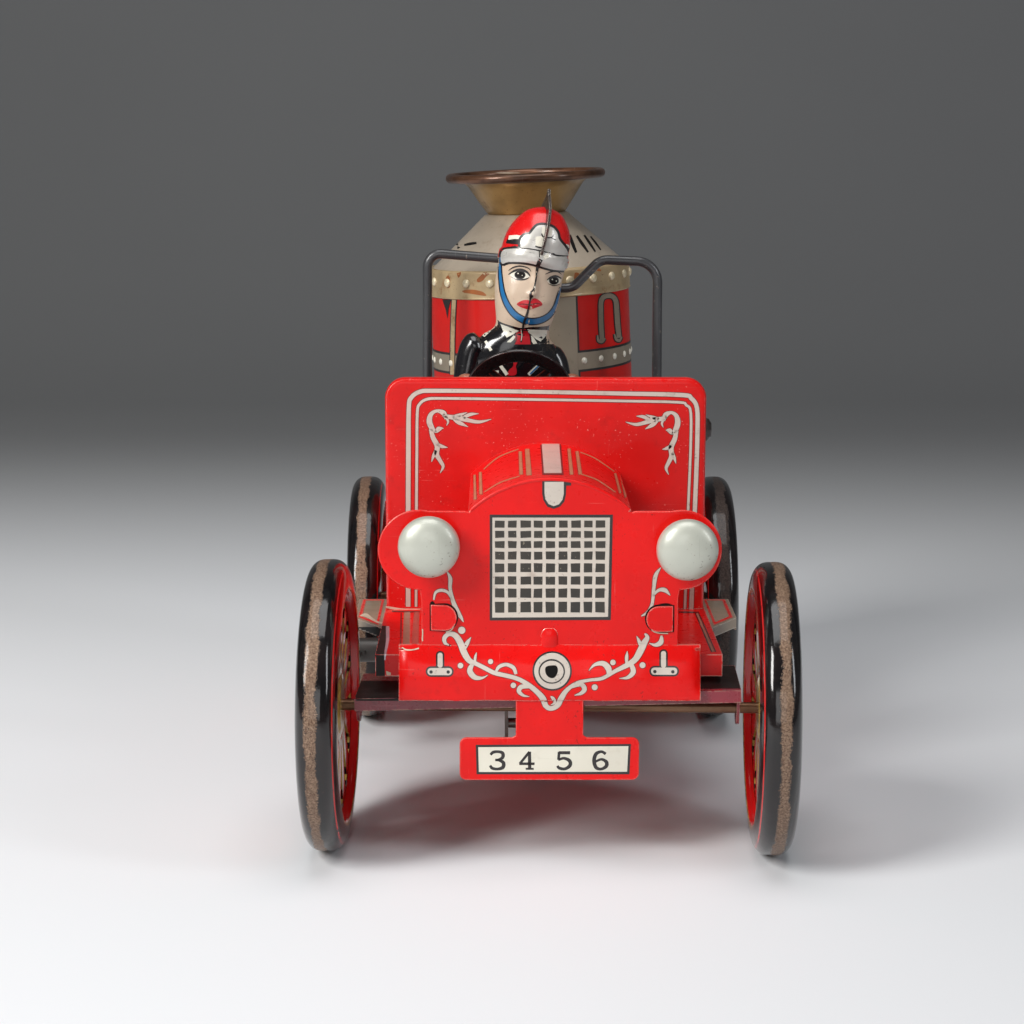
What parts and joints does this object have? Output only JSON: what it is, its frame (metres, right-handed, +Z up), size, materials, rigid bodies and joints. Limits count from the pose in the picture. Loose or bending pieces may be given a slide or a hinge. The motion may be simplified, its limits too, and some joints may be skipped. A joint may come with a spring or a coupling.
{
  "type": "tin clockwork toy fire engine",
  "caption": "Pressed tin toy fire engine with driver, boiler and clockwork motor driving the rear wheels; rolls on tin wheels, with steering wheel and stop lever.",
  "frame": {"origin": "on the table plane, under the centre of the toy's bounding box", "axes": "+X across the car to the right as seen from the front, +Y from the front plate to the rear step, +Z up"},
  "size_m": [0.1067, 0.2001, 0.1437],
  "materials": {
    "red_tin": "glossy red lithographed tinplate with fine scratches",
    "lamp_white": "satin grey-white enamel on tin, slightly marked",
    "lamp_tin": "gold-lacquered tin, scuffed",
    "tyre_black": "glossy black enamel worn to bare rusty tin along the tread",
    "axle_brown": "dulled brass-brown rod",
    "boiler_litho": "red and warm grey lithographed tinplate",
    "boiler_grey": "warm grey enamel with age stains",
    "collar_cream": "cream-gold tin with rust stains",
    "funnel_brass": "aged brass-lacquered tin",
    "rail_grey": "satin dark grey enamelled wire",
    "bracket_maroon": "maroon enamel with a blackened top",
    "step_grey": "grey-brown litho with red border and raw bent edges",
    "steel": "plain rolled steel",
    "spring_blue": "blued spring steel",
    "brass": "brass clockwork",
    "figure_litho": "lithographed figure: red helmet, cream face, black coat",
    "coat_black": "glossy black enamel coat",
    "seat_brown": "dark brown lithographed bench",
    "wheel_black": "black enamel with copper-worn rim",
    "knob_brown": "dark brown enamel knob"
  },
  "bodies": {
    "chassis": {"chassis_tray": "red_tin", "side_step_left": "step_grey", "side_step_right": "step_grey", "front_plate": "red_tin", "front_tabs_and_pivot_rivet": "red_tin", "headlamp_cup_left": "lamp_tin", "headlamp_cup_right": "lamp_tin", "headlamp_cap_left": "lamp_white", "headlamp_cap_right": "lamp_white", "bonnet": "red_tin", "dashboard": "red_tin", "steering_bush": "steel", "seat_box": "seat_brown", "seat_back": "red_tin", "handrail": "rail_grey", "handrail_clips": "red_tin", "boiler_plinth": "bracket_maroon", "boiler_shell": "boiler_litho", "boiler_collar": "collar_cream", "boiler_shoulder": "boiler_grey", "funnel": "funnel_brass", "collar_rivets": "collar_cream", "rear_step": "step_grey", "motor_plate_left": "steel", "motor_plate_right": "steel", "motor_pillars": "steel", "mainspring": "spring_blue", "brake_bracket": "red_tin", "driver_half_left": "figure_litho", "driver_half_right": "figure_litho", "driver_arm_left": "coat_black", "driver_arm_right": "coat_black", "driver_legs": "coat_black"},
    "front_carrier": {"front_axle_bracket": "bracket_maroon"},
    "front_wheels": {"front_axle": "axle_brown", "front_wheel_left_outer": "tyre_black", "front_wheel_left_inner": "tyre_black", "front_wheel_right_outer": "tyre_black", "front_wheel_right_inner": "tyre_black", "front_hub_caps": "axle_brown"},
    "rear_wheels": {"rear_axle": "axle_brown", "rear_pinion": "brass", "rear_wheel_left_outer": "tyre_black", "rear_wheel_left_inner": "tyre_black", "rear_wheel_right_outer": "tyre_black", "rear_wheel_right_inner": "tyre_black", "rear_hub_caps": "axle_brown"},
    "spring_arbor": {"winding_arbor": "steel", "great_gear": "brass", "ratchet_wheel": "steel", "ratchet_click": "steel", "winding_key": "steel"},
    "intermediate": {"intermediate_arbor": "steel", "intermediate_gear": "brass"},
    "governor": {"governor_spindle": "steel", "governor_flywheel": "brass"},
    "steering": {"steering_column": "wheel_black", "steering_wheel": "wheel_black"},
    "brake": {"brake_lever": "rail_grey", "brake_knob": "knob_brown"}
  },
  "joints": [
    {"name": "rear_wheel_spin", "type": "hinge", "parent": "chassis", "child": "rear_wheels", "pos_m": [0, 0.0503, 0.03165], "axis": [1, 0, 0], "continuous": true},
    {"name": "front_axle_swivel", "type": "hinge", "parent": "chassis", "child": "front_carrier", "pos_m": [0, -0.0612, 0.042], "axis": [0, 0, 1], "range_deg": [-0.8, 4.4]},
    {"name": "front_wheel_spin", "type": "hinge", "parent": "front_carrier", "child": "front_wheels", "pos_m": [-0.00018, -0.0667, 0.03165], "axis": [0.9995, -0.0332, 0], "continuous": true},
    {"name": "intermediate_spin", "type": "hinge", "parent": "chassis", "child": "intermediate", "pos_m": [0, 0.03131, 0.0283], "axis": [1, 0, 0], "continuous": true},
    {"name": "winding_spin", "type": "hinge", "parent": "chassis", "child": "spring_arbor", "pos_m": [0, 0.0073, 0.027], "axis": [1, 0, 0], "continuous": true},
    {"name": "governor_spin", "type": "hinge", "parent": "chassis", "child": "governor", "pos_m": [0, 0.04266, 0.01474], "axis": [1, 0, 0], "continuous": true},
    {"name": "steering_turn", "type": "hinge", "parent": "chassis", "child": "steering", "pos_m": [-0.006, 0.0023, 0.092], "axis": [0, 0.8572, 0.515], "range_deg": [-30, 30]},
    {"name": "brake_pull", "type": "hinge", "parent": "chassis", "child": "brake", "pos_m": [0.039, 0.0033, 0.05], "axis": [-1, 0, 0], "range_deg": [0, 25]}
  ],
  "couplings": [
    {"joint": "intermediate_spin", "follows": "rear_wheel_spin", "ratio": -0.33333},
    {"joint": "winding_spin", "follows": "rear_wheel_spin", "ratio": 0.083333},
    {"joint": "governor_spin", "follows": "rear_wheel_spin", "ratio": 1.5}
  ]
}
